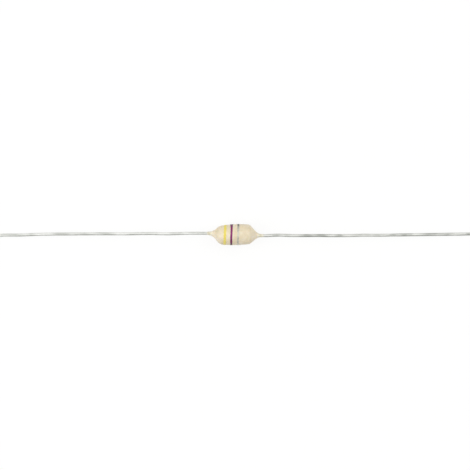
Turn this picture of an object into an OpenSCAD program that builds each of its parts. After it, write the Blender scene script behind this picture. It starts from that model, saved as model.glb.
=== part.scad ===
// Axial inductor: a wire-wound ferrite drum core with a lead glued into each end,
// coated in epoxy and marked with three colour bands. It lies on a surface, as it
// would on a bench. Millimetres, +Z up, +X along the leads. The first (yellow) band
// is on the -X side, and end a is that end.

/* [Core] */
// Length of the drum core over both flanges
core_len = 5.1; // [4.6:0.1:6]
// Diameter of the flanges
flange_d = 2.9; // [2.8:0.05:3.2]
// Thickness of each flange
flange_t = 0.8; // [0.6:0.05:1]
// Chamfer on the rims of the flanges
flange_chamfer = 0.1; // [0.04:0.02:0.16]
// Diameter of the waist that carries the winding
waist_d = 2; // [1.6:0.05:2.1]
// Radius of the fillet that grinding leaves at the foot of each flange
waist_fillet_r = 0.08; // [0.04:0.01:0.1]
// Depth of the blind hole for the lead in each end
hole_depth = 1.4; // [1:0.1:1.8]
// Width of the notch that lets the wire out through each flange
notch_w = 0.5; // [0.4:0.05:0.7]

/* [Winding] */
// Turns of wire round the waist
coil_turns = 11; // [4:1:13]
// Diameter of the enamelled wire
coil_wire_d = 0.2; // [0.12:0.01:0.22]
// Turns of the wire's end round each lead
wrap_turns = 2; // [1:1:3]
// Part of a turn that the wire takes across a flange's face
face_sweep = 216; // [150:6:300]

/* [Leads] */
// Diameter of the leads
lead_d = 0.6; // [0.5:0.02:0.7]
// Distance from the middle of the body to each lead's tip
lead_reach = 45.2; // [40:0.1:60]
// Distance from the middle of the body to the bend in lead a
bend_a_x = 36; // [10:0.5:38]
// Sideways place of the bend in lead a
bend_a_y = 0.1; // [-0.5:0.05:0.5]
// Height of the bend in lead a
bend_a_z = 0.83; // [0.5:0.01:1.5]
// Sideways place of lead a's tip
tip_a_y = -0.13; // [-1:0.01:1]
// Distance from the middle of the body to the bend in lead b
bend_b_x = 22.5; // [10:0.5:38]
// Sideways place of the bend in lead b
bend_b_y = -0.2; // [-0.5:0.05:0.5]
// Height of the bend in lead b
bend_b_z = 1.41; // [0.5:0.01:1.8]
// Sideways place of lead b's tip
tip_b_y = 0.13; // [-1:0.01:1]

/* [Coating] */
// Thickness of the epoxy over the flanges, at the thickest place
coat_t = 0.57; // [0.46:0.01:0.8]
// Radius of the barrel's lengthwise bulge
bulge_r = 25; // [20:1:80]
// Place of the widest point along the body
crown_x = 0.3; // [-0.6:0.1:0.8]
// Angle between the coating's own axis and the line of the leads' tips
coat_yaw = 1.7; // [0:0.1:2.4]
// Angle between the core's axis and the line of the leads' tips
core_yaw = 2.5; // [0:0.1:3]
// Sideways shift of the core inside the coating
core_shift = 0.03; // [-0.05:0.01:0.05]
// Reach of end a's dome, from the barrel to the far side of the soldered joint
dome_reach_a = 1.15; // [1.05:0.01:1.4]
// Radius of end a's rounded shoulder
shoulder_a_r = 1.7; // [1:0.05:1.9]
// Slope of end a between its shoulder and its meniscus
slope_a = 48; // [42:1:54]
// Radius of the meniscus where the epoxy has crept up lead a
meniscus_a_r = 2; // [1.6:0.05:2.4]
// Power of end a's shrinking that moves its rings over to the core's axis, evenly at 1
drift_a = 0.85; // [0.6:0.05:1.4]
// Reach of end b's cone, from the barrel to the far side of the soldered joint
dome_reach_b = 1.05; // [0.95:0.01:1.3]
// Radius of end b's crisper shoulder
shoulder_b_r = 1.1; // [0.6:0.05:1.4]
// Slope of end b's cone
slope_b = 45; // [40:1:52]
// Radius of the meniscus where the epoxy has crept up lead b
meniscus_b_r = 1.6; // [1.2:0.05:2]
// Power of end b's shrinking that moves its rings over to the core's axis, evenly at 1
drift_b = 0.55; // [0.5:0.05:1.4]

/* [Bands] */
// Place of the yellow band along the body
yellow_x = -1.92; // [-2.1:0.01:-1.5]
// Width of the yellow band
yellow_w = 0.5; // [0.3:0.05:0.6]
// Place of the violet band along the body
violet_x = -0.68; // [-1:0.01:-0.5]
// Width of the violet band
violet_w = 0.4; // [0.3:0.05:0.6]
// Place of the silver band along the body
silver_x = 0.6; // [0.3:0.01:0.9]
// Width of the silver band
silver_w = 0.4; // [0.3:0.05:0.6]
// Lean of the bands away from square to the leads
band_lean = 1.5; // [0:0.1:4]
// Thickness of the ink
ink_t = 0.03; // [0.02:0.005:0.06]

/* [Fits] */
// Gap between two parts that are bonded to each other
bond_gap = 0.005; // [0.002:0.001:0.01]
// Gap between the winding wire and what it is wound on
wire_gap = 0.02; // [0.01:0.005:0.04]
// Room for glue round a lead in its hole
glue_t = 0.1; // [0.06:0.01:0.14]
// Glue under the root of a lead
root_glue_t = 0.1; // [0.05:0.01:0.2]
// Thickness of the solder over the wraps
solder_t = 0.16; // [0.1:0.01:0.2]
// Length of solder past the wraps
solder_end = 0.25; // [0.15:0.01:0.3]
// Gap between the coating and what it encloses
coat_gap = 0.03; // [0.01:0.005:0.04]
// Thickness of the epoxy and of the solder at their feather edges on a lead
edge_t = 0.02; // [0.01:0.005:0.03]

/* [Hidden] */

// Circles that stay true curves
$fn = 48;
// Sides and lengthwise steps of the coating and the bands
skin_sides = 48;
barrel_steps = 8;
shoulder_steps = 6;
meniscus_steps = 7;
// Sides and steps of the winding wire
wire_sides = 8;
steps_per_turn = 24;
wrap_steps_per_turn = 16;
corner_steps = 4;
// Steps of the fillets on the core, and of the curve of the solder
fillet_steps = 4;
solder_steps = 8;
// Overlap of a cutter past the face that it cuts
cut = 0.1;
// Half the gap between two straight runs of a lead at a bend
bend_gap = 0.02;
// Reach of the link in that gap to each side of the bend
link_reach = 0.06;
// Step in from a lead's wall to the link
link_step = 0.005;
// Straight lead between the coating and its first bend
bend_room = 0.12;

core_half = core_len / 2;
waist_r = waist_d / 2;
flange_r = flange_d / 2;
lead_r = lead_d / 2;
wire_r = coil_wire_d / 2;
hole_r = lead_r + glue_t;
lead_root = core_half - hole_depth + root_glue_t;

// Winding: centre line's radii and stations along the core
coil_r = waist_r + wire_r + wire_gap;
wrap_r = lead_r + wire_r + wire_gap;
coil_half = core_half - flange_t - wire_r - 2 * wire_gap;
face_x = core_half + wire_r + wire_gap;
wrap_pitch = coil_wire_d + wire_gap;
corner_r = coil_wire_d;
corner_turn = corner_r / coil_r * 180 / PI;
notch_turn = 180 * coil_turns + corner_turn;
notch_floor = waist_r + wire_gap / 2;

// Soldered joint: a sleeve over the wraps that closes onto the lead
solder_in_r = wrap_r + wire_r + wire_gap;
solder_out_r = solder_in_r + solder_t;
solder_start = face_x + wire_r + 2 * wire_gap;
wraps_end = face_x + wrap_turns * wrap_pitch + wire_r + wire_gap;
joint_end = wraps_end + solder_end;

// Coating: outline of the barrel and of the two ends
crown_r = flange_r + coat_t;
neck_r = lead_r + bond_gap + edge_t;
barrel_a = joint_end - dome_reach_a;
barrel_b = joint_end - dome_reach_b;
axis_z = (crown_r + bond_gap + ink_t) * cos(180 / skin_sides);

function mix(a, b, t) = a + (b - a) * t;
function unit(v) = v / norm(v);
function backwards(list) = [for (i = [len(list) - 1:-1:0]) list[i]];
function barrel_r(x) = crown_r - pow(x - crown_x, 2) / (2 * bulge_r);

// Outline of one end as [x, radius], from the barrel out to the lead: an arc for the
// shoulder, a straight slope, and an arc for the meniscus that runs out on the lead.
function end_outline(side, barrel_end, shoulder_r, slope, meniscus_r) =
    let (
        start_x = side * barrel_end,
        start_r = barrel_r(start_x),
        first = atan(abs(start_x - crown_x) / bulge_r),
        shoulder = [
            for (i = [0:shoulder_steps])
            let (a = mix(first, slope, i / shoulder_steps))
            [
                start_x + side * shoulder_r * (sin(a) - sin(first)),
                start_r - shoulder_r * (cos(first) - cos(a))
            ]
        ],
        foot = shoulder[shoulder_steps],
        meniscus_top = neck_r + meniscus_r * (1 - cos(slope)),
        meniscus_x = foot[0] + side * (foot[1] - meniscus_top) / tan(slope),
        meniscus = [
            for (i = [0:meniscus_steps])
            let (a = slope * (1 - i / meniscus_steps))
            [
                meniscus_x + side * meniscus_r * (sin(slope) - sin(a)),
                neck_r + meniscus_r * (1 - cos(a))
            ]
        ]
    )
    concat(shoulder, meniscus);

outline_a = end_outline(-1, barrel_a, shoulder_a_r, slope_a, meniscus_a_r);
outline_b = end_outline(1, barrel_b, shoulder_b_r, slope_b, meniscus_b_r);
exit_a = -outline_a[len(outline_a) - 1][0];
exit_b = outline_b[len(outline_b) - 1][0];

// Sideways centre of the coating at x, where its radius is r. The barrel follows the
// coating's own axis, and each end moves over to the core's axis as it shrinks.
function coat_line(x) = x * tan(coat_yaw);
function core_line(x) = core_shift - x * tan(core_yaw);
function shrink(r, full_r) = max(0, min(1, 1 - (r - neck_r) / (full_r - neck_r)));
function coat_centre(x, r) =
    x < -barrel_a ? mix(coat_line(x), core_line(x), pow(shrink(r, barrel_r(-barrel_a)), drift_a))
    : x > barrel_b ? mix(coat_line(x), core_line(x), pow(shrink(r, barrel_r(barrel_b)), drift_b))
    : coat_line(x);

// Angle of a ring's corner. Half a step puts a flat, not a corner, at the bottom.
function corner_angle(i, sides) = 360 * (i + 0.5) / sides;

// Ring of the coating's outer skin, square to X
function skin_ring(x, r) = [
    for (i = [0:skin_sides - 1])
    let (a = corner_angle(i, skin_sides))
    [x, coat_centre(x, r) + r * cos(a), axis_z + r * sin(a)]
];

// Place of a point given along, across and up from the core's axis
function from_core(x, y = 0, z = 0) = [
    x * cos(core_yaw) + y * sin(core_yaw),
    core_shift - x * sin(core_yaw) + y * cos(core_yaw),
    axis_z + z
];

// Ring of the cavity, square to the core, with its flats at the radius
function core_ring(x, r) = [
    for (i = [0:skin_sides - 1])
    let (a = corner_angle(i, skin_sides), corner = r / cos(180 / skin_sides))
    from_core(x, corner * cos(a), corner * sin(a))
];

// Stepped cavity for end b's half of the core, from the middle out to the lead's exit
function cavity(exit) = [
    [core_half + coat_gap, flange_r + coat_gap],
    [core_half + coat_gap, coil_r + wire_r + coat_gap],
    [face_x + wire_r + coat_gap, coil_r + wire_r + coat_gap],
    [face_x + wire_r + coat_gap, solder_out_r + coat_gap],
    [joint_end + coat_gap, solder_out_r + coat_gap],
    [joint_end + coat_gap, lead_r + bond_gap],
    [exit / cos(core_yaw), lead_r + bond_gap]
];

// Triangles over rings of equal length. A loop joins the last ring to the first.
module skin(rings, loop) {
    sides = len(rings[0]);
    last = loop ? len(rings) - 1 : len(rings) - 2;
    walls = [
        for (i = [0:last], j = [0:sides - 1])
        let (
            here = i * sides,
            next = (i + 1) % len(rings) * sides,
            k = (j + 1) % sides
        )
        each [[here + j, next + j, next + k], [here + j, next + k, here + k]]
    ];
    end = (len(rings) - 1) * sides;
    caps = loop ? [] : [[for (j = [0:sides - 1]) j], [for (j = [sides - 1:-1:0]) end + j]];
    polyhedron(points = [for (ring = rings) each ring], faces = concat(walls, caps));
}

module in_core_frame() {
    translate([0, core_shift, axis_z]) rotate([0, 0, -core_yaw]) children();
}

// Solid of revolution about X, from an outline of [x, radius]
module turned(outline) {
    rotate([90, 0, 90]) rotate_extrude() polygon([for (p = outline) [p[1], p[0]]]);
}

module coating() {
    barrel = [
        for (i = [1:barrel_steps - 1])
        let (x = mix(-barrel_a, barrel_b, i / barrel_steps))
        [x, barrel_r(x)]
    ];
    outside = concat(backwards(outline_a), barrel, outline_b);
    inside = concat(
        backwards(cavity(exit_b)),
        [for (p = cavity(exit_a)) [-p[0], p[1]]]
    );
    rings = concat(
        [for (p = outside) skin_ring(p[0], p[1])],
        [for (p = inside) core_ring(p[0], p[1])]
    );
    color("#e6dabd") skin(rings, true);
}

module drum_core() {
    inner = core_half - flange_t;
    fillet = [
        for (i = [0:fillet_steps])
        let (a = 90 * i / fillet_steps)
        [inner - waist_fillet_r * (1 - sin(a)), waist_r + waist_fillet_r * (1 - cos(a))]
    ];
    rim = [
        [inner, flange_r - flange_chamfer],
        [inner + flange_chamfer, flange_r],
        [core_half - flange_chamfer, flange_r],
        [core_half, flange_r - flange_chamfer],
        [core_half, 0]
    ];
    half = concat(fillet, rim);
    color("#4b4a4d") in_core_frame() difference() {
        turned(concat(half, [for (p = backwards(half)) [-p[0], p[1]]]));
        for (side = [-1, 1]) {
            translate([side * (core_half - hole_depth), 0, 0]) rotate([0, side * 90, 0])
                cylinder(r = hole_r, h = hole_depth + cut);
            rotate([side * notch_turn, 0, 0])
                translate([side > 0 ? inner - cut : -core_half - cut, notch_floor, -notch_w / 2])
                    cube([flange_t + 2 * cut, flange_r, notch_w]);
        }
    }
}

// Half of the wire's route from the middle of the coil out to end b, each point as
// [x, angle, radius]: the coil, a corner into the notch, a corner out of it, a spiral
// in over the flange's face, and the wraps on the lead.
function half_route() =
    let (
        coil_steps = ceil(coil_turns * steps_per_turn / 2),
        notch_out = notch_turn + corner_turn,
        sweep_steps = ceil(face_sweep / 360 * steps_per_turn),
        wrap_steps = wrap_turns * wrap_steps_per_turn
    )
    concat(
        [for (i = [0:coil_steps]) let (t = i / coil_steps) [coil_half * t, 180 * coil_turns * t, coil_r]],
        [
            for (i = [1:corner_steps])
            let (a = 90 * i / corner_steps)
            [coil_half + corner_r * (1 - cos(a)), 180 * coil_turns + corner_turn * sin(a), coil_r]
        ],
        [
            for (i = [0:corner_steps])
            let (a = 90 * i / corner_steps)
            [face_x - corner_r * (1 - sin(a)), notch_turn + corner_turn * (1 - cos(a)), coil_r]
        ],
        [
            for (i = [1:sweep_steps])
            let (t = i / sweep_steps)
            [face_x, notch_out + face_sweep * t, mix(coil_r, wrap_r, t)]
        ],
        [
            for (i = [1:wrap_steps])
            let (t = i / wrap_steps_per_turn)
            [face_x + wrap_pitch * t, notch_out + face_sweep + 360 * t, wrap_r]
        ]
    );

// The other half is the same route turned half round, about an axis across the core
function wire_route() =
    let (
        half = half_route(),
        other = [for (i = [len(half) - 1:-1:1]) [-half[i][0], -half[i][1], half[i][2]]]
    )
    [for (p = concat(other, half)) [p[0], p[2] * cos(p[1]), p[2] * sin(p[1])]];

// Rings of a round wire along a route, each turned as little as the route allows
function wire_rings(route, r, sides) =
    let (
        count = len(route),
        ways = [for (i = [0:count - 1]) unit(route[min(i + 1, count - 1)] - route[max(i - 1, 0)])],
        across = [
            for (i = 0, n = unit(cross(ways[0], [1, 0, 0])); i < count;
                 i = i + 1, n = i < count ? unit(n - (n * ways[i]) * ways[i]) : n) n
        ]
    )
    [
        for (i = [0:count - 1])
        let (n = across[i], b = cross(ways[i], n))
        [for (j = [0:sides - 1]) let (a = 360 * j / sides) route[i] + r * (cos(a) * n + sin(a) * b)]
    ];

module winding() {
    color("#b4642f") in_core_frame() skin(wire_rings(wire_route(), wire_r, wire_sides), false);
}

// Straight round bar between two points
module bar(from, to, d) {
    way = to - from;
    tilt = acos(way[2] / norm(way));
    turn = atan2(way[1], way[0]);
    translate(from) rotate([0, tilt, turn]) cylinder(d = d, h = norm(way));
}

// Lead from its root in the core through its bends to its tip. Straight runs stop just
// short of each bend, and a link a hair slimmer joins them, so each keeps its round wall.
module lead(points) {
    last = len(points) - 1;
    for (i = [1:last]) {
        way = unit(points[i] - points[i - 1]);
        from = i == 1 ? points[0] : points[i - 1] + bend_gap * way;
        to = i == last ? points[last] : points[i] - bend_gap * way;
        bar(from, to, lead_d);
        reach = link_reach * way;
        if (i < last) bar(points[i] - reach, points[i] + reach, lead_d - 2 * link_step);
    }
}

module lead_a() {
    color("#c8c8c4") lead([
        from_core(-lead_root),
        from_core(-(exit_a + bend_room) / cos(core_yaw)),
        [-bend_a_x, bend_a_y, bend_a_z],
        [-lead_reach, tip_a_y, lead_r]
    ]);
}

module lead_b() {
    color("#c8c8c4") lead([
        from_core(lead_root),
        from_core((exit_b + bend_room) / cos(core_yaw)),
        [bend_b_x, bend_b_y, bend_b_z],
        [lead_reach, tip_b_y, lead_r]
    ]);
}

// Glue that fills the hole round and under the root of a lead
module glue(side) {
    color("#d8c58c") in_core_frame() rotate([0, side * 90, 0]) difference() {
        translate([0, 0, core_half - hole_depth + bond_gap])
            cylinder(r = hole_r - bond_gap, h = hole_depth - bond_gap);
        translate([0, 0, lead_root - bond_gap]) cylinder(r = lead_r + bond_gap, h = hole_depth);
    }
}

module glue_a() {
    glue(-1);
}

module glue_b() {
    glue(1);
}

// Solder sleeve: its outside is a quarter of an ellipse that runs down to the lead
module solder(side) {
    tip_r = lead_r + bond_gap + edge_t;
    outside = [
        for (i = [0:solder_steps])
        let (a = 90 * i / solder_steps)
        [mix(solder_start, joint_end, sin(a)), mix(tip_r, solder_out_r, cos(a))]
    ];
    inside = [
        [joint_end, lead_r + bond_gap],
        [wraps_end, lead_r + bond_gap],
        [wraps_end, solder_in_r],
        [solder_start, solder_in_r]
    ];
    color("#b7babc") in_core_frame() turned([for (p = concat(outside, inside)) [side * p[0], p[1]]]);
}

module solder_a() {
    solder(-1);
}

module solder_b() {
    solder(1);
}

// Ring of ink on the skin. It leans, so each of its corners takes the skin's radius
// and centre at its own place along the body.
function ink_ring(x, lift) = [
    for (i = [0:skin_sides - 1])
    let (
        a = corner_angle(i, skin_sides),
        place = x + tan(band_lean) * barrel_r(x) * cos(a),
        r = barrel_r(place) + lift
    )
    [place, coat_line(place) + r * cos(a), axis_z + r * sin(a)]
];

module band(x, w) {
    low = bond_gap;
    high = bond_gap + ink_t;
    skin([
        ink_ring(x - w / 2, high),
        ink_ring(x + w / 2, high),
        ink_ring(x + w / 2, low),
        ink_ring(x - w / 2, low)
    ], true);
}

module band_yellow() {
    color("#ead87a") band(yellow_x, yellow_w);
}

module band_violet() {
    color("#904872") band(violet_x, violet_w);
}

module band_silver() {
    color("#c4c1b8") band(silver_x, silver_w);
}

coating();
drum_core();
winding();
lead_a();
lead_b();
glue_a();
glue_b();
solder_a();
solder_b();
band_yellow();
band_violet();
band_silver();
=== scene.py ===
"""Axial inductor: the looks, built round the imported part.

The epoxy coating, the printed bands and the leads are worked out here as smooth
surfaces in the place of their plain solids. The core, winding, glue and solder are
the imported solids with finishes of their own. Lengths in the classes are in
millimetres and angles in degrees unless a name says otherwise, and meshes are in
metres. X runs along the part, and Z is up.
"""

import logging
import math
from dataclasses import dataclass, field
from enum import Enum
from typing import Any

import bpy
import numpy as np
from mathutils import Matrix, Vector


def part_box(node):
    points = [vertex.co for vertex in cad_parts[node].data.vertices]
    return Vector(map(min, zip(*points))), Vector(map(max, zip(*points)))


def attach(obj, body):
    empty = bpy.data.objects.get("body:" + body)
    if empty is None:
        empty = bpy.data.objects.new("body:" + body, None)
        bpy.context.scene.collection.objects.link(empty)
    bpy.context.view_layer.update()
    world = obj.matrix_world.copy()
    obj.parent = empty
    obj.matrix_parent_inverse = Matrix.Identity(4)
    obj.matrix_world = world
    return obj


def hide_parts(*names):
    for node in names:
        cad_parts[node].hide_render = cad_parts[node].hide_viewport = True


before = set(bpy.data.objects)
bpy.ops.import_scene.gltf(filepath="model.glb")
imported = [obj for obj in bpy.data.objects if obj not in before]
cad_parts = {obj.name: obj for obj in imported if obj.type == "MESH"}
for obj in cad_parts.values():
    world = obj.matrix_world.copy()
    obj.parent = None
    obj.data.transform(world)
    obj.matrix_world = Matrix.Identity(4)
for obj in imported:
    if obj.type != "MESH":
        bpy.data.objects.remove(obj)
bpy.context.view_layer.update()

log = logging.getLogger("axial_inductor")

MM = 0.001
TAU = 2 * math.pi
BODY = "root"
WHITE = (1.0, 1.0, 1.0, 1.0)


class End(Enum):
    """The two ends of the part, each with its side along X."""

    A = -1
    B = 1


class Ray(Enum):
    """Kinds of ray that the studio tells apart, each with its output's name."""

    CAMERA = "Is Camera Ray"
    GLOSSY = "Is Glossy Ray"
    TRANSMISSION = "Is Transmission Ray"


# ---------------------------------------------------------------- small helpers


def linear(code: str) -> tuple[float, float, float, float]:
    """Turns an sRGB hex colour into linear light.

    Args:
        code: Colour such as "#e6dabd".

    Returns:
        Linear red, green, blue and an alpha of 1.
    """
    parts = [int(code[i:i + 2], 16) / 255 for i in (1, 3, 5)]
    rgb = [c / 12.92 if c <= 0.04045 else ((c + 0.055) / 1.055) ** 2.4 for c in parts]
    return rgb[0], rgb[1], rgb[2], 1.0


def per_mm(size: float) -> float:
    """Texture scale at which one cell of a pattern measures size millimetres."""
    return 1 / (size * MM)


def ease(t: np.ndarray) -> np.ndarray:
    """Smooth step from 0 to 1: 3t^2 - 2t^3, held at 0 and 1 outside that range."""
    t = np.clip(t, 0, 1)
    return t * t * (3 - 2 * t)


def ripple(rng: np.random.Generator, angle: np.ndarray, waves: tuple[int, ...]) -> np.ndarray:
    """Wavy line round a circle: a sum of sines with whole numbers of waves.

    Each sine has a drawn phase, and its height falls with its number of waves, so
    that the sum stays between -1 and 1 and closes on itself.

    Args:
        rng: Source of the phases.
        angle: Angles in radians.
        waves: Numbers of waves round the circle.

    Returns:
        Heights between -1 and 1.
    """
    total = sum(np.sin(n * angle + rng.uniform(0, TAU)) / n for n in waves)
    return total / sum(1 / n for n in waves)


def grid_mesh(name: str, grid: np.ndarray, loop: bool) -> bpy.types.Object:
    """Makes an object from rings of points.

    Rings follow each other along the first axis of the grid, and each ring is closed.
    With loop, the last ring joins the first, and otherwise each end gets a flat face.
    Quads join ring i to ring i + 1 and point j to point j + 1, in the order that
    points outwards where rings run along +X and points turn anticlockwise about it.

    Args:
        name: Name of the object and its mesh.
        grid: Array of rings by points by 3, in millimetres.
        loop: Whether the rings close on themselves.

    Returns:
        The object, smooth shaded, riding on the part.
    """
    rings, sides = grid.shape[:2]
    steps = rings if loop else rings - 1
    i = np.arange(steps)[:, None]
    j = np.arange(sides)[None, :]
    after = (i + 1) % rings
    right = (j + 1) % sides
    quads = np.stack([i * sides + j, i * sides + right, after * sides + right, after * sides + j], -1)
    faces = quads.reshape(-1, 4).tolist()
    if not loop:
        faces.append(list(range(sides - 1, -1, -1)))
        faces.append(list(range((rings - 1) * sides, rings * sides)))
    mesh = bpy.data.meshes.new(name)
    mesh.from_pydata((grid.reshape(-1, 3) * MM).tolist(), [], faces)
    mesh.polygons.foreach_set("use_smooth", [True] * len(faces))
    mesh.update()
    piece = bpy.data.objects.new(name, mesh)
    bpy.context.scene.collection.objects.link(piece)
    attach(piece, BODY)
    return piece


def mark(piece: bpy.types.Object, name: str, values: np.ndarray) -> None:
    """Stores one number a vertex on a piece, for its material to read.

    Args:
        piece: The piece.
        name: Name of the attribute.
        values: One value a vertex, in the order of the vertices.
    """
    layer = piece.data.attributes.new(name, "FLOAT", "POINT")
    layer.data.foreach_set("value", values.astype(np.float32).ravel())


def dress(piece: bpy.types.Object, *materials: bpy.types.Material) -> None:
    """Puts materials into a piece's slots, in order, over any that it has.

    Args:
        piece: The piece.
        *materials: One material a slot.
    """
    piece.data.materials.clear()
    for material in materials:
        piece.data.materials.append(material)


def add(
    tree: bpy.types.NodeTree,
    kind: str,
    settings: dict[str, Any] | None = None,
    values: dict[str, Any] | None = None,
    links: dict[str, bpy.types.NodeSocket] | None = None,
) -> bpy.types.Node:
    """Adds a node with its settings, its fixed values and its links.

    Inputs are named. An input whose name isn't the only one of its kind on the node
    is given by its number, written in figures.

    Args:
        tree: Node tree that gets the node.
        kind: Node type, without its "ShaderNode" start.
        settings: Properties of the node itself.
        values: Fixed values by input.
        links: Output sockets that feed inputs, by input.

    Returns:
        The new node.
    """
    node = tree.nodes.new("ShaderNode" + kind)
    for key, value in (settings or {}).items():
        setattr(node, key, value)
    for key, value in (values or {}).items():
        node.inputs[int(key) if key.isdigit() else key].default_value = value
    for key, socket in (links or {}).items():
        tree.links.new(socket, node.inputs[int(key) if key.isdigit() else key])
    return node


def stops(node: bpy.types.Node, points: list[tuple[float, str]]) -> bpy.types.NodeSocket:
    """Sets the colours of a colour ramp.

    Args:
        node: The ramp's node, which starts with two colours.
        points: Place from 0 to 1 and hex colour of each stop, in order.

    Returns:
        The ramp's colour output.
    """
    ramp = node.color_ramp
    while len(ramp.elements) < len(points):
        ramp.elements.new(0.5)
    for element, (place, colour) in zip(ramp.elements, points):
        element.position = place
        element.color = linear(colour)
    return node.outputs["Color"]


# -------------------------------------------------------------------- finishes


@dataclass(frozen=True)
class Finish:
    """What every finish has: a name and a way to start and end its node tree."""

    name: str

    def start(self) -> tuple[bpy.types.Material, bpy.types.NodeTree, bpy.types.NodeSocket]:
        """Makes an empty material.

        Returns:
            The material, its tree, and the Object coordinates that its patterns read.
        """
        material = bpy.data.materials.new(self.name)
        material.use_nodes = True
        tree = material.node_tree
        tree.nodes.clear()
        place = add(tree, "TexCoord").outputs["Object"]
        return material, tree, place

    def close(self, tree: bpy.types.NodeTree, surface: bpy.types.Node) -> None:
        """Joins a shader to the material's output."""
        add(tree, "OutputMaterial", links={"Surface": surface.outputs[0]})

    def build(self) -> bpy.types.Material:
        """Makes the material. Each kind of finish has its own way."""
        raise NotImplementedError

    def made(self) -> bpy.types.Material:
        """Gives the material, which is built when it is first asked for."""
        return bpy.data.materials.get(self.name) or self.build()


@dataclass(frozen=True)
class EpoxyCoat(Finish):
    """Filled epoxy, fluidised or rolled on and oven cured.

    It flows out glossy with a slight orange peel, its filler mottles the cream a
    little, and light soaks a fraction of a millimetre into it. The mottle is placed so
    that it also paints some shade and light on the body. Where it thins out over a
    lead, the metal shows through: the attribute "thin" says how much.
    """

    name: str = "epoxy_coat_cream"
    # Cream of the coat, from its palest mottle to its deepest, and the mottle's size.
    pale: str = "#e8ddc6"
    body: str = "#e3d6bb"
    deep: str = "#dccead"
    mottle_mm: float = 1.6
    # Offset of the mottle, set so that its deep and pale patches land where the body should read
    # darker and lighter: painted shade and light over the random tone.
    mottle_light_and_shade_place: tuple[float, float, float] = (-8.6, -17.8, -4.7)
    # Grains of filler: their tint, how much they show, and their size.
    filler: str = "#f2ece0"
    filler_share: float = 0.6
    speck_mm: float = 0.12
    # Colours where it thins out: the film, then the last of its feather edge.
    film: str = "#f0ead6"
    feather: str = "#dcd4ba"
    # Share of the light that passes through the feather edge.
    clear: float = 0.06
    # Orange peel, roughness between the mottle's tones, and how far light soaks in.
    peel_mm: float = 0.45
    peel_depth_mm: float = 0.004
    gloss: tuple[float, float] = (0.31, 0.43)
    soak: float = 0.16
    soak_mm: float = 0.35

    def build(self) -> bpy.types.Material:
        """Makes the material.

        Returns:
            The coat's material, which reads the attribute "thin".
        """
        material, tree, place = self.start()
        # The mottle moved to its set place, where its tones also paint shade and light.
        moved = add(
            tree, "Mapping", values={"Location": tuple(v * MM for v in self.mottle_light_and_shade_place)},
            links={"Vector": place},
        )
        mottle = add(
            tree, "TexNoise",
            values={"Scale": per_mm(self.mottle_mm), "Detail": 4.0, "Roughness": 0.55},
            links={"Vector": moved.outputs["Vector"]},
        )
        ramp = add(tree, "ValToRGB", links={"Fac": mottle.outputs["Fac"]})
        tone = stops(ramp, [(0.34, self.deep), (0.5, self.body), (0.66, self.pale)])
        # Filler grains are a few hundredths of a millimetre, drawn coarser here to show.
        speck = add(
            tree, "TexNoise", values={"Scale": per_mm(self.speck_mm), "Detail": 2.0},
            links={"Vector": place},
        )
        speck_ramp = add(tree, "ValToRGB", links={"Fac": speck.outputs["Fac"]})
        specks = stops(speck_ramp, [(0.3, self.filler), (0.55, "#ffffff")])
        colour = add(
            tree, "Mix", settings={"data_type": "RGBA", "blend_type": "MULTIPLY"},
            values={"0": self.filler_share}, links={"6": tone, "7": specks},
        )
        thin = add(tree, "Attribute", settings={"attribute_name": "thin"}).outputs["Fac"]
        film_ramp = add(tree, "ValToRGB", links={"Fac": thin})
        film = stops(film_ramp, [(0.6, self.film), (1.0, self.feather)])
        fade = add(
            tree, "Mix", settings={"data_type": "RGBA"},
            links={"0": thin, "6": colour.outputs[2], "7": film},
        )
        clear = add(
            tree, "Math", settings={"operation": "MULTIPLY"}, values={"1": self.clear},
            links={"0": thin},
        )
        gloss = add(
            tree, "MapRange",
            values={
                "From Min": 0.3, "From Max": 0.7,
                "To Min": self.gloss[0], "To Max": self.gloss[1],
            },
            links={"Value": mottle.outputs["Fac"]},
        )
        peel = add(
            tree, "TexNoise", values={"Scale": per_mm(self.peel_mm), "Detail": 2.0},
            links={"Vector": place},
        )
        bump = add(
            tree, "Bump", values={"Strength": 0.5, "Distance": self.peel_depth_mm * MM},
            links={"Height": peel.outputs["Fac"]},
        )
        surface = add(
            tree, "BsdfPrincipled",
            values={
                "IOR": 1.54, "Subsurface Weight": self.soak,
                "Subsurface Radius": (1.0, 0.72, 0.42), "Subsurface Scale": self.soak_mm * MM,
            },
            links={
                "Base Color": fade.outputs[2], "Roughness": gloss.outputs["Result"],
                "Transmission Weight": clear.outputs[0], "Normal": bump.outputs["Normal"],
            },
        )
        self.close(tree, surface)
        return material


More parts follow.
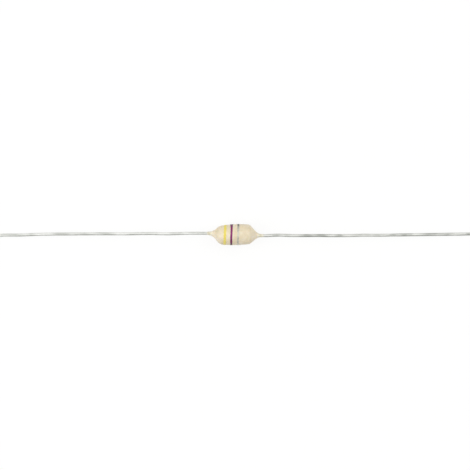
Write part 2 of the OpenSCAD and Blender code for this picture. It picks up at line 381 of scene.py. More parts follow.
@dataclass(frozen=True)
class BandInk(Finish):
    """Pigmented marking ink, rolled on with a wheel and cured.

    It is a thin film that lets the epoxy show where the wheel pressed it thin: the
    attribute "film" says how heavily it lies, and on the violet and the silver it also
    carries painted shade on the band's sides. It is a little less glossy than the epoxy.
    """

    # Colours of a full and of a starved film, and how far patches shift between them.
    full_film_and_shade: str = "#d9c032"
    # On the violet and the silver, the full film's colour is also painted shade.
    thin: str = "#ecdc7c"
    spread: float = 0.5
    patch_mm: float = 0.5
    metal: float = 0.0
    roughness: float = 0.42
    grain_mm: float = 0.06
    grain_depth_mm: float = 0.003

    def build(self) -> bpy.types.Material:
        """Makes the material.

        Returns:
            The ink's material, which reads the attribute "film".
        """
        material, tree, place = self.start()
        patch = add(
            tree, "TexNoise", values={"Scale": per_mm(self.patch_mm), "Detail": 3.0},
            links={"Vector": place},
        )
        spot = add(
            tree, "MapRange",
            values={
                "From Min": 0.3, "From Max": 0.7,
                "To Min": -self.spread / 2, "To Max": self.spread / 2,
            },
            links={"Value": patch.outputs["Fac"]},
        )
        film = add(tree, "Attribute", settings={"attribute_name": "film"}).outputs["Fac"]
        cover = add(
            tree, "Math", settings={"operation": "ADD"},
            links={"0": film, "1": spot.outputs["Result"]},
        )
        # Colour by the film's share; on the violet and the silver its dark end paints shade on the
        # band's sides.
        ramp = add(tree, "ValToRGB", links={"Fac": cover.outputs[0]})
        tone = stops(ramp, [(0.05, self.thin), (0.95, self.full_film_and_shade)])
        # Pigment is a few microns across, drawn coarser here to show.
        grain = add(
            tree, "TexNoise", values={"Scale": per_mm(self.grain_mm), "Detail": 1.0},
            links={"Vector": place},
        )
        bump = add(
            tree, "Bump", values={"Strength": 0.35, "Distance": self.grain_depth_mm * MM},
            links={"Height": grain.outputs["Fac"]},
        )
        surface = add(
            tree, "BsdfPrincipled",
            values={"IOR": 1.5, "Metallic": self.metal, "Roughness": self.roughness},
            links={"Base Color": tone, "Normal": bump.outputs["Normal"]},
        )
        self.close(tree, surface)
        return material


@dataclass(frozen=True)
class TinnedWire(Finish):
    """Drawn copper wire with a hot-dipped tin skin.

    Tin gives a soft grey-white metal, drawing leaves fine lines along the wire, and
    the dip leaves slow swells and duller patches. Next to the body a faint wash of
    epoxy dulls the tin: the attribute "wash" says how much.
    """

    # Colours of the tin between its patches, and of the epoxy's wash.
    bright: str = "#d8dad4"
    dull: str = "#b6b8b2"
    film: str = "#e6dec4"
    gloss: tuple[float, float] = (0.28, 0.44)
    # Drawn lines and dipped swells: size across, stretch along X, and depth.
    line_mm: float = 0.05
    line_stretch: float = 0.012
    line_depth_mm: float = 0.004
    swell_mm: float = 0.9
    swell_stretch: float = 0.35
    swell_depth_mm: float = 0.01

    def build(self) -> bpy.types.Material:
        """Makes the material.

        Returns:
            The tin's material, which reads the attribute "wash".
        """
        material, tree, place = self.start()
        # A die leaves lines a few microns apart, drawn coarser here to show.
        along = add(
            tree, "Mapping", values={"Scale": (self.line_stretch, 1.0, 1.0)},
            links={"Vector": place},
        )
        lines = add(
            tree, "TexNoise", values={"Scale": per_mm(self.line_mm), "Detail": 2.0},
            links={"Vector": along.outputs["Vector"]},
        )
        flow = add(
            tree, "Mapping", values={"Scale": (self.swell_stretch, 1.0, 1.0)},
            links={"Vector": place},
        )
        swell = add(
            tree, "TexNoise", values={"Scale": per_mm(self.swell_mm), "Detail": 1.5},
            links={"Vector": flow.outputs["Vector"]},
        )
        ramp = add(tree, "ValToRGB", links={"Fac": swell.outputs["Fac"]})
        tin = stops(ramp, [(0.36, self.dull), (0.62, self.bright)])
        wash = add(tree, "Attribute", settings={"attribute_name": "wash"}).outputs["Fac"]
        tone = add(
            tree, "Mix", settings={"data_type": "RGBA"}, values={"7": linear(self.film)},
            links={"0": wash, "6": tin},
        )
        metal = add(
            tree, "Math", settings={"operation": "SUBTRACT"}, values={"0": 1.0},
            links={"1": wash},
        )
        gloss = add(
            tree, "MapRange",
            values={
                "From Min": 0.3, "From Max": 0.7,
                "To Min": self.gloss[0], "To Max": self.gloss[1],
            },
            links={"Value": swell.outputs["Fac"]},
        )
        swell_bump = add(
            tree, "Bump", values={"Strength": 0.4, "Distance": self.swell_depth_mm * MM},
            links={"Height": swell.outputs["Fac"]},
        )
        bump = add(
            tree, "Bump", values={"Strength": 0.5, "Distance": self.line_depth_mm * MM},
            links={"Height": lines.outputs["Fac"], "Normal": swell_bump.outputs["Normal"]},
        )
        surface = add(
            tree, "BsdfPrincipled",
            links={
                "Base Color": tone.outputs[2], "Metallic": metal.outputs[0],
                "Roughness": gloss.outputs["Result"], "Normal": bump.outputs["Normal"],
            },
        )
        self.close(tree, surface)
        return material


@dataclass(frozen=True)
class GrainedSolid(Finish):
    """A plain body with fine grain: pressed ferrite, cast glue, solder or enamel.

    The grain varies the colour between two tones and roughens the surface by bump.
    """

    dark: str = "#3c3b3e"
    light: str = "#525154"
    grain_mm: float = 0.08
    depth_mm: float = 0.004
    metal: float = 0.0
    roughness: float = 0.6
    # Weight of a clear enamel over it, from 0 to 1.
    lacquer: float = 0.0

    def build(self) -> bpy.types.Material:
        """Makes the material.

        Returns:
            The solid's material.
        """
        material, tree, place = self.start()
        grain = add(
            tree, "TexNoise", values={"Scale": per_mm(self.grain_mm), "Detail": 3.0},
            links={"Vector": place},
        )
        ramp = add(tree, "ValToRGB", links={"Fac": grain.outputs["Fac"]})
        tone = stops(ramp, [(0.35, self.dark), (0.65, self.light)])
        bump = add(
            tree, "Bump", values={"Strength": 0.5, "Distance": self.depth_mm * MM},
            links={"Height": grain.outputs["Fac"]},
        )
        surface = add(
            tree, "BsdfPrincipled",
            values={
                "Metallic": self.metal, "Roughness": self.roughness,
                "Coat Weight": self.lacquer, "Coat Roughness": 0.1,
            },
            links={"Base Color": tone, "Normal": bump.outputs["Normal"]},
        )
        self.close(tree, surface)
        return material


# Filled epoxy, rolled on and cured: a creamy, slightly mottled gloss.
CREAM_EPOXY = EpoxyCoat()

# Marking inks, rolled on: flat, satin colour. The yellow and the violet are organic
# pigments, and the silver is aluminium flake. The violet's dark full colour and the
# silver's grey one, which the bands lay on their sides, are painted shade.
YELLOW_INK = BandInk("marking_ink_yellow", full_film_and_shade="#dfc844", thin="#e9da7c")
VIOLET_INK = BandInk("marking_ink_violet", full_film_and_shade="#3e0622", thin="#902470", roughness=0.4)
SILVER_INK = BandInk(
    "marking_ink_silver", full_film_and_shade="#5e5a4f", thin="#d4d1c0", metal=0.3, roughness=0.38,
)

# Hot-dipped tin: a soft white metal for lead a, and a greyer copy of it for lead
# b, whose grey is painted shade.
PALE_TIN = TinnedWire("tinned_copper_wire_pale", bright="#e5e6e2", dull="#c8cac4")
SHADED_TIN = TinnedWire("tinned_copper_wire_shaded", bright="#d9dad5", dull="#adafa9")

# Copper laid bare by the shear: a warm orange with a fine torn grain.
CUT_COPPER = GrainedSolid(
    "sheared_copper", dark="#a8583a", light="#c9805c", grain_mm=0.03, metal=1.0, roughness=0.4,
)

# Pressed and fired ferrite: dull charcoal with a fine grain.
FERRITE = GrainedSolid(
    "pressed_ferrite", dark="#38373a", light="#4f4e51", grain_mm=0.07, roughness=0.62,
)

# Copper wire under a clear enamel: a deep red-brown shine.
ENAMELLED = GrainedSolid(
    "enamelled_copper_wire", dark="#9c4a22", light="#c06a38", grain_mm=0.3, depth_mm=0.001,
    metal=1.0, roughness=0.28, lacquer=0.8,
)

# Unfilled epoxy cast in the hole: amber and glossy.
GLUE = GrainedSolid(
    "cast_epoxy_glue", dark="#c9b274", light="#dcc890", grain_mm=0.25, roughness=0.3,
)

# Tin solder that froze bright, with a faint grain.
SOLDER = GrainedSolid(
    "tin_solder", dark="#9ea1a4", light="#c0c2c4", grain_mm=0.12, metal=1.0, roughness=0.34,
)


# ---------------------------------------------------------------------- pieces


@dataclass
class Coating:
    """Epoxy coating: a barrel with a domed end and a coned end, and a meniscus on each lead.

    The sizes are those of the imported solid, which this surface replaces. Its own
    unevenness only goes inwards, so it stays within that solid's box.
    """

    # Barrel: its widest radius and where that is, the arc along it, and its half lengths.
    crown_r: float = 2.02
    crown_x: float = 0.3
    bulge_r: float = 25.0
    barrel: dict[End, float] = field(default_factory=lambda: {End.A: 2.33, End.B: 2.43})
    # Ends: shoulder arc, slope of the straight part, meniscus arc, and radius at the lead.
    shoulder_r: dict[End, float] = field(default_factory=lambda: {End.A: 1.7, End.B: 1.1})
    slope: dict[End, float] = field(default_factory=lambda: {End.A: 48.0, End.B: 45.0})
    meniscus_r: dict[End, float] = field(default_factory=lambda: {End.A: 2.0, End.B: 1.6})
    neck_r: float = 0.325
    # Turns of the coating and of the core in it, the core's sideways shift, and the
    # power by which each end drifts from the one axis to the other.
    coat_yaw: float = 1.7
    core_yaw: float = 2.5
    core_shift: float = 0.03
    drift: dict[End, float] = field(default_factory=lambda: {End.A: 0.85, End.B: 0.55})
    # What the cavity goes round: half lengths and radii, and the room round them.
    core_half: float = 2.55
    flange_r: float = 1.45
    coil_r: float = 1.22
    face_end: float = 2.77
    joint_r: float = 0.7
    joint_end: float = 3.48
    lead_hole_r: float = 0.305
    coat_gap: float = 0.03
    # Unevenness: its depth, its number of waves, how many they are round the body, how
    # tight along it, and the rise above the neck over which it sets in.
    uneven: float = 0.03
    lump_count: int = 7
    lump_waves: tuple[int, int] = (1, 5)
    lump_pitch: tuple[float, float] = (0.3, 1.1)
    calm_r: float = 0.8
    # Rise above the neck below which the coat lets the lead show through.
    thin_r: float = 0.3
    # Points round the body, and steps along each arc, each slope and the barrel.
    sides: int = 192
    end_steps: int = 36
    slope_steps: int = 12
    barrel_steps: int = 64
    seed: int = 7

    def __post_init__(self) -> None:
        """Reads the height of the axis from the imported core, and draws the unevenness."""
        low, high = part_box("drum_core")
        self.axis_z = (low[2] + high[2]) / 2 / MM
        rng = np.random.default_rng(self.seed)
        self.lumps = [
            (
                rng.integers(*self.lump_waves), rng.uniform(*self.lump_pitch),
                rng.uniform(0, TAU), rng.uniform(0, TAU),
            )
            for _ in range(self.lump_count)
        ]

    def barrel_radius(self, x: np.ndarray) -> np.ndarray:
        """Radius of the barrel: the crown's less the sag of a shallow arc along the body."""
        return self.crown_r - (x - self.crown_x) ** 2 / (2 * self.bulge_r)

    def end_outline(self, end: End) -> np.ndarray:
        """Outline of one end, from the barrel out to its lead.

        A shoulder arc turns from the barrel's slope to the end's slope, a straight
        line follows, and the meniscus arc turns back until it runs along the lead.

        Args:
            end: Which end.

        Returns:
            Array of [x, radius] rows.
        """
        side, start_x = end.value, end.value * self.barrel[end]
        start_r = float(self.barrel_radius(np.array(start_x)))
        slope = math.radians(self.slope[end])
        first = math.atan(abs(start_x - self.crown_x) / self.bulge_r)
        a = np.linspace(first, slope, self.end_steps)
        shoulder = np.stack([
            start_x + side * self.shoulder_r[end] * (np.sin(a) - math.sin(first)),
            start_r - self.shoulder_r[end] * (math.cos(first) - np.cos(a)),
        ], 1)
        foot_x, foot_r = shoulder[-1]
        top_r = self.neck_r + self.meniscus_r[end] * (1 - math.cos(slope))
        top_x = foot_x + side * (foot_r - top_r) / math.tan(slope)
        t = np.linspace(0, 1, self.slope_steps)[1:-1, None]
        line = (1 - t) * np.array([[foot_x, foot_r]]) + t * np.array([[top_x, top_r]])
        b = np.linspace(slope, 0, self.end_steps)
        meniscus = np.stack([
            top_x + side * self.meniscus_r[end] * (math.sin(slope) - np.sin(b)),
            self.neck_r + self.meniscus_r[end] * (1 - np.cos(b)),
        ], 1)
        return np.concatenate([shoulder, line, meniscus])

    def mouth(self, end: End) -> float:
        """Distance along X from the middle of the body to where its lead comes out."""
        return abs(float(self.end_outline(end)[-1, 0]))

    def core_line(self, x: np.ndarray) -> np.ndarray:
        """Sideways place of the core's axis at x: a straight line that leans by core_yaw."""
        return self.core_shift - x * math.tan(math.radians(self.core_yaw))

    def centre(self, x: np.ndarray, r: np.ndarray) -> np.ndarray:
        """Sideways centre of the skin at x, where its radius is r.

        The barrel follows the coating's own axis. Past it, the share of the way from
        the barrel's radius down to the neck's, to a power, moves the centre over to
        the core's axis.

        Args:
            x: Places along the body.
            r: Radius of the skin at each.

        Returns:
            Place of the centre along Y at each.
        """
        own = x * math.tan(math.radians(self.coat_yaw))
        place = own.copy()
        for end in End:
            past = x * end.value > self.barrel[end]
            full = float(self.barrel_radius(np.array(end.value * self.barrel[end])))
            share = np.clip((full - r) / (full - self.neck_r), 0, 1) ** self.drift[end]
            place = np.where(past, own + (self.core_line(x) - own) * share, place)
        return place

    def sink(self, x: np.ndarray, angle: np.ndarray) -> np.ndarray:
        """Depth of the skin's unevenness.

        It is a sum of waves sin(n angle + p) sin(k x + q), moved and scaled so that
        the skin never rises above its plain shape.

        Args:
            x: Places along the body.
            angle: Angles round it in radians.

        Returns:
            Depths from 0 to uneven.
        """
        total = sum(np.sin(n * angle + p) * np.sin(k * x + q) for n, k, p, q in self.lumps)
        return self.uneven * (0.5 + 0.5 * total / len(self.lumps))

    def point(
        self, x: np.ndarray, r: np.ndarray, angle: np.ndarray, lift: np.ndarray | float
    ) -> np.ndarray:
        """Points of the skin, or lifted off it.

        Each lies at its angle on a circle about the skin's centre at x, of radius r
        less the unevenness, which fades out towards the leads, plus the lift.

        Args:
            x: Places along the body.
            r: Radius of the plain skin at each.
            angle: Angles round the body in radians.
            lift: Height above the skin.

        Returns:
            Array of points, one for each place and angle.
        """
        fade = ease((r - self.neck_r) / self.calm_r)
        radius = r - self.sink(x, angle) * fade + lift
        return np.stack([
            x + 0 * angle, self.centre(x, r) + radius * np.cos(angle),
            self.axis_z + radius * np.sin(angle),
        ], -1)

    def cavity(self, angle: np.ndarray) -> np.ndarray:
        """Rings of the cavity round the core, the joints and the leads.

        The cavity is a stepped bore about the core's axis, a gap wider than what it
        holds: flange, coil's ends, joint and lead, and the same again the other way.

        Args:
            angle: Angles round the body in radians.

        Returns:
            Array of rings by points by 3, from end b to end a.
        """
        gap, hole = self.coat_gap, self.lead_hole_r
        half = [
            (self.core_half + gap, self.flange_r + gap), (self.core_half + gap, self.coil_r + gap),
            (self.face_end + gap, self.coil_r + gap), (self.face_end + gap, self.joint_r + gap),
            (self.joint_end + gap, self.joint_r + gap), (self.joint_end + gap, hole),
        ]
        lean = math.radians(self.core_yaw)
        exits = {end: self.mouth(end) / math.cos(lean) for end in End}
        steps = [(exits[End.B], hole), *reversed(half)]
        steps += [(-x, r) for x, r in [*half, (exits[End.A], hole)]]
        x, r = (np.array(v)[:, None] for v in zip(*steps))
        across = r * np.cos(angle)
        return np.stack([
            x * math.cos(lean) + across * math.sin(lean),
            self.core_shift - x * math.sin(lean) + across * math.cos(lean),
            self.axis_z + r * np.sin(angle) + 0 * x,
        ], -1)

    def build(self) -> bpy.types.Object:
        """Builds the skin and the cavity as one closed shell.

        Returns:
            The piece, which replaces the coating's solid.
        """
        inner = np.linspace(-self.barrel[End.A], self.barrel[End.B], self.barrel_steps + 1)[1:-1]
        barrel = np.stack([inner, self.barrel_radius(inner)], 1)
        outline = np.concatenate([self.end_outline(End.A)[::-1], barrel, self.end_outline(End.B)])
        angle = TAU * np.arange(self.sides)[None, :] / self.sides
        skin = self.point(outline[:, :1], outline[:, 1:], angle, 0.0)
        cavity = self.cavity(angle)
        piece = grid_mesh("epoxy_coating", np.concatenate([skin, cavity]), True)
        thin = 1 - ease((outline[:, 1] - self.neck_r) / self.thin_r)
        mark(piece, "thin", np.repeat(np.append(thin, np.zeros(len(cavity))), self.sides))
        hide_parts("coating")
        dress(piece, CREAM_EPOXY.made())
        return piece


@dataclass
class Band:
    """One printed ring of ink, which leans a little and has slightly uneven edges.

    The ink's colour changes round the body with its share of the full film: crest on
    top, far on the +Y side and near on the -Y side. On the violet and the silver, the
    darker sides that this gives are painted shade; the yellow pales towards its sides.
    On the +Y side, where the print overlaps itself, the ink also spreads by flare over
    its left and right edges.
    """

    node: str
    slot: str
    # Place of its middle along X, and its width.
    place: float
    width: float
    ink: BandInk
    # How far the edges wander, and the numbers of waves that they do it in.
    wobble: float = 0.02
    edge_waves: tuple[int, ...] = (2, 3, 5, 9, 14)
    # Shares of the full film's colour, and the powers by which two of them set in.
    # On the violet and the silver, far and near darken the sides as painted shade.
    crest: float = 0.3
    far: float = 1.0
    far_power: int = 4
    near: float = 1.0
    near_power: int = 2
    flare: tuple[float, float] = (0.0, 0.0)
    flare_power: int = 6
    lean: float = 1.5
    # Section: its thickness, the gap under it, and the power that rounds its edges.
    thickness: float = 0.024
    film: float = 0.002
    edge_power: int = 6
    sides: int = 360
    across: int = 14
    seed: int = 1

    def build(self, coat: Coating) -> bpy.types.Object:
        """Builds the ring on the coating's skin.

        Its section is a film with rounded edges: across the band, s runs from -1 to 1,
        the height is the thickness times 1 less |s| to a high power, and the underside
        lies just off the skin. Each edge wanders by its own ripple round the body, and
        the flare widens it by a power of the cosine of the angle.

        Args:
            coat: The coating that it is printed on.

        Returns:
            The piece, which replaces the band's solid.
        """
        rng = np.random.default_rng(self.seed)
        angle = TAU * np.arange(self.sides) / self.sides
        side = np.cos(angle)
        spread = np.clip(side, 0, 1) ** self.flare_power
        left, right = (
            sign * self.width / 2 + self.wobble * ripple(rng, angle, self.edge_waves)
            + sign * flare * spread
            for sign, flare in zip((-1, 1), self.flare)
        )
        radius = float(coat.barrel_radius(np.array(self.place)))
        middle = self.place + math.tan(math.radians(self.lean)) * radius * side
        s = np.sin(np.linspace(-1, 1, self.across) * math.pi / 2)
        section = np.concatenate([s, s[-2:0:-1]])[:, None]
        top = np.concatenate([np.ones(self.across), np.zeros(self.across - 2)])[:, None]
        x = middle + left + (right - left) * (section + 1) / 2
        lift = self.film + top * self.thickness * (1 - np.abs(section) ** self.edge_power)
        grid = coat.point(x, coat.barrel_radius(x), angle[None, :] + 0 * x, lift)
        piece = grid_mesh(self.node + "_ink", grid, True)
        # Share of the full film's colour round the body: on the violet and the silver it paints shade
        # on the sides.
        film = (
            self.crest + (self.far - self.crest) * np.clip(side, 0, 1) ** self.far_power
            + (self.near - self.crest) * np.clip(-side, 0, 1) ** self.near_power
        )
        mark(piece, "film", np.tile(film, len(grid)))
        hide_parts(self.node)
        dress(piece, self.ink.made())
        return piece


@dataclass
class Lead:
    """One tinned lead, from its root in the core through two soft bends to its cut tip."""

    end: End
    tin: TinnedWire
    # Second bend and tip. The first bend is a little way outside the coating.
    bend: tuple[float, float, float]
    tip: tuple[float, float, float]
    # Low sideways bells: the place of each along X and its height, and their reach.
    kinks: tuple[tuple[float, float], ...] = ()
    kink_reach: float = 2.2
    # Reach of the epoxy's wash past the coating, and how strong it starts.
    wash: float = 0.3
    wash_start: float = 0.8
    radius: float = 0.2985
    root: float = 1.25
    exit_room: float = 0.12
    # Half length over which a bend is rounded, and the samples in that average.
    soft: float = 1.4
    soft_samples: int = 15
    # Waver of the wire: its height, the lengths of its waves over a turn, and the
    # lengths over which it sets in past the first bend and dies out at the tip.
    waver: float = 0.012
    waver_lengths: tuple[float, ...] = (1.7, 2.9, 4.3)
    waver_start: float = 3.0
    waver_stop: float = 4.0
    # Cut tip: how far it stands back, how much it is flattened and over what length,
    # and the rings of its face as shares of the wire's section and their height.
    tip_room: float = 0.012
    pinch: float = 0.1
    pinch_reach: float = 0.3
    face_shares: tuple[float, ...] = (0.97, 0.9, 0.86, 0.6, 0.3, 0.02)
    face_rise: tuple[float, ...] = (0.003, 0.007, 0.004, 0.0015, 0.003, 0.006)
    # Last steps of the face that show bare copper.
    bare_steps: int = 3
    step: float = 0.12
    sides: int = 40
    seed: int = 3

    def route(self, coat: Coating) -> np.ndarray:
        """Centre line of the lead.

        Straight runs join the root, the first bend just outside the coating, the
        second bend and the tip. A running average over the soft length rounds the
        bends, slow sines let the wire waver by a hair, and each kink is a low bell
        sideways, as handling leaves it.

        Args:
            coat: The coating that the lead comes out of.

        Returns:
            Array of points from the root to the tip.
        """
        side = self.end.value
        out = coat.mouth(self.end) + self.exit_room
        corners = np.array([
            [side * x, float(coat.core_line(np.array(side * x))), coat.axis_z]
            for x in (self.root, out)
        ] + [list(self.bend), list(self.tip)])
        gaps = np.linalg.norm(np.diff(corners, axis=0), axis=1)
        reach = np.concatenate([[0], np.cumsum(gaps)])
        s = np.arange(0, reach[-1], self.step)
        s = np.append(s, reach[-1])
        spread = np.linspace(-self.soft, self.soft, self.soft_samples)
        room = np.minimum(np.minimum(s, reach[-1] - s), self.soft)[:, None] / self.soft
        sample = np.clip(s[:, None] + spread[None, :] * room, 0, reach[-1])
        line = np.stack([np.interp(sample, reach, corners[:, k]).mean(1) for k in range(3)], 1)
        rng = np.random.default_rng(self.seed)
        free = ease((s - reach[1]) / self.waver_start) * ease((reach[-1] - s) / self.waver_stop)
        for axis in (1, 2):
            waves = [np.sin(s / w + rng.uniform(0, TAU)) for w in self.waver_lengths]
            line[:, axis] += self.waver * free * (sum(waves) / len(waves))
        for x, rise in self.kinks:
            line[:, 1] += rise * np.exp(-((line[:, 0] - x) / self.kink_reach) ** 2) * free
        last = line[-1] - line[-2]
        line[-1] -= self.tip_room * last / np.linalg.norm(last)
        return line

    def rings(self, line: np.ndarray) -> np.ndarray:
        """Rings of the wire along its centre line, and of its cut face.

        A circle is carried along the line, square to it. Towards the tip it flattens
        a little where the blades closed. The rings of the face shrink to its middle
        and rise to a rounded rim and a shallow ridge, as a shear leaves them.

        Args:
            line: Centre line from the root to the tip.

        Returns:
            Array of rings by points by 3.
        """
        way = np.gradient(line, axis=0)
        way /= np.linalg.norm(way, axis=1, keepdims=True)
        across = np.cross(np.array([0.0, 0.0, 1.0]), way)
        across /= np.linalg.norm(across, axis=1, keepdims=True)
        up = np.cross(way, across)
        left = np.linalg.norm(line - line[-1], axis=1)
        pinch = self.pinch * (1 - ease(left / self.pinch_reach))
        turn = (TAU * np.arange(self.sides) / self.sides)[None, :, None]
        wire = (
            line[:, None] + self.radius * np.cos(turn) * across[:, None]
            + self.radius * (1 - pinch)[:, None, None] * np.sin(turn) * up[:, None]
        )
        shares = np.array(self.face_shares)[:, None, None]
        rise = np.array(self.face_rise)[:, None, None]
        face = line[-1] + rise * way[-1] + shares * (wire[-1] - line[-1])[None]
        return np.concatenate([wire, face])

    def build(self, coat: Coating) -> bpy.types.Object:
        """Builds the wire and its cut tip.

        Args:
            coat: The coating that the lead comes out of.

        Returns:
            The piece, which replaces the lead's solid.
        """
        grid = self.rings(self.route(coat))
        name = f"lead_{self.end.name.lower()}"
        piece = grid_mesh(name + "_wire", grid, False)
        past = np.abs(grid[:, 0, 0]) - coat.mouth(self.end)
        mark(piece, "wash", np.repeat(self.wash_start * (1 - ease(past / self.wash)), self.sides))
        bare = np.zeros(len(piece.data.polygons), dtype=np.int32)
        last = len(grid) - 1
        bare[(last - self.bare_steps) * self.sides:last * self.sides] = 1
        bare[-1] = 1
        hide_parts(name)
        dress(piece, self.tin.made(), CUT_COPPER.made())
        piece.data.polygons.foreach_set("material_index", bare)
        return piece


@dataclass
class Inside:
    """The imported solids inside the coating, which keep their shapes and get finishes."""

    finishes: dict[str, GrainedSolid] = field(default_factory=lambda: {
        "drum_core": FERRITE, "winding": ENAMELLED, "glue_a": GLUE, "glue_b": GLUE,
        "solder_a": SOLDER, "solder_b": SOLDER,
    })

    def build(self) -> list[bpy.types.Object]:
        """Puts each solid's finish on it.

        Returns:
            The solids.
        """
        pieces = [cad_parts[node] for node in self.finishes]
        for piece, finish in zip(pieces, self.finishes.values()):
            dress(piece, finish.made())
        return pieces


# ---------------------------------------------------------------------- studio


@dataclass(frozen=True)
class Lamp:
    """A square soft lamp that faces the part and that the camera doesn't see."""

    name: str
    place: tuple[float, float, float]
    size: float
    watts: float

    def build(self) -> bpy.types.Object:
        """Makes the lamp.

        Returns:
            The lamp's object.
        """
        data = bpy.data.lights.new(self.name, "AREA")
        data.shape = "SQUARE"
        data.size = self.size * MM
        data.energy = self.watts
        lamp = bpy.data.objects.new(self.name, data)
        bpy.context.scene.collection.objects.link(lamp)
        lamp.location = [v * MM for v in self.place]
        lamp.rotation_euler = (-Vector(self.place)).to_track_quat("-Z", "Y").to_euler()
        lamp.visible_camera = False
        return lamp


@dataclass
class Studio:
    """White floor, soft lamps and a camera that looks straight down on the part.

    The world's light rises from dark_level at the horizon to bright_level on the bright
    side. Mirrors see it rise from dark_mirror to bright_mirror, as they see dark walls
    and a bright ceiling, and this draws the flanks and the crests of the wires.
    """

    # Floor: its width, how far it lies below the part, its paper's colour, and the
    # share and level at which cameras and mirrors see that paper lit.
    floor_size: float = 6000.0
    floor_drop: float = 0.02
    floor_colour: str = "#cececb"
    lit_paper: float = 0.81
    paper_level: float = 1.08
    # World: where its bright side is, and the cosines to that side between which the
    # level rises.
    bright_side: tuple[float, float, float] = (-0.06, 0.26, 0.964)
    horizon: float = 0.04
    full: float = 0.95
    dark_level: float = 0.46
    dark_mirror: float = 0.3
    bright_level: float = 0.96
    bright_mirror: float = 1.2
    # One wide lamp low on the left, and one a little higher on the right.
    lamps: tuple[Lamp, ...] = (
        Lamp("left_lamp", place=(-380.0, -50.0, 310.0), size=350.0, watts=0.87),
        Lamp("right_lamp", place=(420.0, 160.0, 380.0), size=400.0, watts=0.85),
    )
    # Camera: focal length, sensor, and the view's width and middle at the leads' tips.
    lens: float = 300.0
    sensor: float = 36.0
    view_width: float = 90.25
    view_y: float = -0.068
    tip_z: float = 0.3

    def seen(self, tree: bpy.types.NodeTree, *rays: Ray) -> bpy.types.NodeSocket:
        """Tells whether the ray that reads a shader is of one of some kinds.

        Args:
            tree: Node tree of the shader.
            *rays: The kinds.

        Returns:
            A socket that is 1 for a ray of any of those kinds, and 0 for the others.
        """
        path = add(tree, "LightPath")
        seen = path.outputs[rays[0].value]
        for ray in rays[1:]:
            seen = add(
                tree, "Math", settings={"operation": "MAXIMUM"},
                links={"0": seen, "1": path.outputs[ray.value]},
            ).outputs[0]
        return seen

    def paper(self) -> bpy.types.Material:
        """Makes the floor's matt white paper, a flat white that keeps a soft shadow.

        Returns:
            The material, which the camera, mirrors and glass see mostly as lit paper.
        """
        material = bpy.data.materials.new("matt_white_paper")
        material.use_nodes = True
        tree = material.node_tree
        tree.nodes.clear()
        share = add(
            tree, "Math", settings={"operation": "MULTIPLY"}, values={"1": self.lit_paper},
            links={"0": self.seen(tree, Ray.CAMERA, Ray.GLOSSY, Ray.TRANSMISSION)},
        )
        paper = add(tree, "BsdfDiffuse", values={"Color": linear(self.floor_colour)})
        glow = add(tree, "Emission", values={"Color": WHITE, "Strength": self.paper_level})
        both = add(
            tree, "MixShader",
            links={"0": share.outputs[0], "1": paper.outputs[0], "2": glow.outputs[0]},
        )
        add(tree, "OutputMaterial", links={"Surface": both.outputs[0]})
        return material

    def floor(self) -> bpy.types.Object:
        """Makes the floor.

        Returns:
            The floor's object, which belongs to the stage.
        """
        half, low = self.floor_size / 2 * MM, -self.floor_drop * MM
        mesh = bpy.data.meshes.new("floor")
        corners = [(-half, -half, low), (half, -half, low), (half, half, low), (-half, half, low)]
        mesh.from_pydata(corners, [], [(0, 1, 2, 3)])
        floor = bpy.data.objects.new("floor", mesh)
        bpy.context.scene.collection.objects.link(floor)
        mesh.materials.append(self.paper())
        return floor

    def world(self) -> None:
        """Makes a soft world, brightest on one upper side, that the camera sees as white.

        The level is a straight ramp of the cosine between a direction and the bright
        side. It starts at the horizon's cosine and ends about 18 degrees from that side.
        """
        world = bpy.data.worlds.new("studio")
        bpy.context.scene.world = world
        world.use_nodes = True
        tree = world.node_tree
        tree.nodes.clear()
        mirror = self.seen(tree, Ray.GLOSSY)
        way = add(tree, "TexCoord").outputs["Generated"]
        facing = add(
            tree, "VectorMath", settings={"operation": "DOT_PRODUCT"},
            values={"1": self.bright_side}, links={"0": way},
        )
        dark, bright = (
            add(
                tree, "Math", settings={"operation": "MULTIPLY_ADD"},
                values={"1": mirrored - plain, "2": plain}, links={"0": mirror},
            )
            for plain, mirrored in (
                (self.dark_level, self.dark_mirror), (self.bright_level, self.bright_mirror),
            )
        )
        level = add(
            tree, "MapRange", values={"From Min": self.horizon, "From Max": self.full},
            links={
                "Value": facing.outputs["Value"],
                "To Min": dark.outputs[0], "To Max": bright.outputs[0],
            },
        )
        dim = add(
            tree, "Background", values={"Color": WHITE},
            links={"Strength": level.outputs["Result"]},
        )
        white = add(tree, "Background", values={"Color": WHITE, "Strength": 1.0})
        both = add(
            tree, "MixShader",
            links={
                "0": self.seen(tree, Ray.CAMERA, Ray.TRANSMISSION),
                "1": dim.outputs[0], "2": white.outputs[0],
            },
        )
        add(tree, "OutputWorld", links={"Surface": both.outputs[0]})

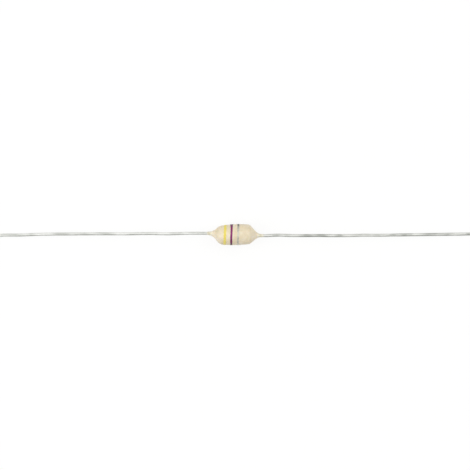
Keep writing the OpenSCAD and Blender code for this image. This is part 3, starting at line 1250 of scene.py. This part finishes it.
    def camera(self) -> bpy.types.Object:
        """Makes the camera. Its height gives the view's width at the tips of the leads.

        Returns:
            The camera's object, which is the scene's own.
        """
        data = bpy.data.cameras.new("camera")
        data.lens = self.lens
        data.sensor_width = self.sensor
        data.clip_start = 0.01
        data.clip_end = 50.0
        camera = bpy.data.objects.new("camera", data)
        bpy.context.scene.collection.objects.link(camera)
        height = self.view_width * self.lens / self.sensor + self.tip_z
        camera.location = (0.0, self.view_y * MM, height * MM)
        bpy.context.scene.camera = camera
        return camera

    def build(self) -> None:
        """Builds the whole studio."""
        self.camera()
        self.floor()
        self.world()
        for lamp in self.lamps:
            lamp.build()
        bpy.context.scene.view_settings.view_transform = "Standard"


# ------------------------------------------------------------------------ part

# Each band's crest, far and near set its ink's colour round the body; on the violet and the silver
# the dark sides are painted shade.
BANDS = (
    Band(
        "band_yellow", "ink_yellow", place=-1.92, width=0.48, ink=YELLOW_INK,
        wobble=0.035, crest=0.6, far=0.3, near=0.0, seed=11,
    ),
    Band(
        "band_violet", "ink_violet", place=-0.68, width=0.4, ink=VIOLET_INK,
        wobble=0.025, crest=0.33, near=0.88, flare=(0.14, 0.07), seed=12,
    ),
    Band(
        "band_silver", "ink_silver", place=0.6, width=0.38, ink=SILVER_INK,
        crest=0.2, far=1.5, near=0.35, seed=13,
    ),
)

LEADS = (
    Lead(
        End.A, PALE_TIN, bend=(-36.0, 0.1, 0.83), tip=(-45.2, -0.13, 0.3),
        kinks=((-13.0, -0.08), (-21.0, -0.03), (-41.0, -0.05)), seed=21,
    ),
    Lead(
        # Lead b wears the greyer tin, whose grey is painted shade.
        End.B, SHADED_TIN, bend=(22.5, -0.2, 1.41), tip=(45.2, 0.13, 0.3),
        kinks=((8.0, 0.09), (15.6, 0.04), (24.5, 0.05)), wash=0.7, seed=22,
    ),
)


def main() -> None:
    """Builds the studio and every piece in order, and reports each one."""
    logging.basicConfig(level=logging.INFO, format="%(name)s: %(message)s")
    Studio().build()
    coat = Coating()
    pieces = [coat.build()]
    pieces += [band.build(coat) for band in BANDS]
    pieces += [lead.build(coat) for lead in LEADS]
    pieces += Inside().build()
    for piece in pieces:
        log.info("%s: %d faces", piece.name, len(piece.data.polygons))


if __name__ == "__main__":
    main()
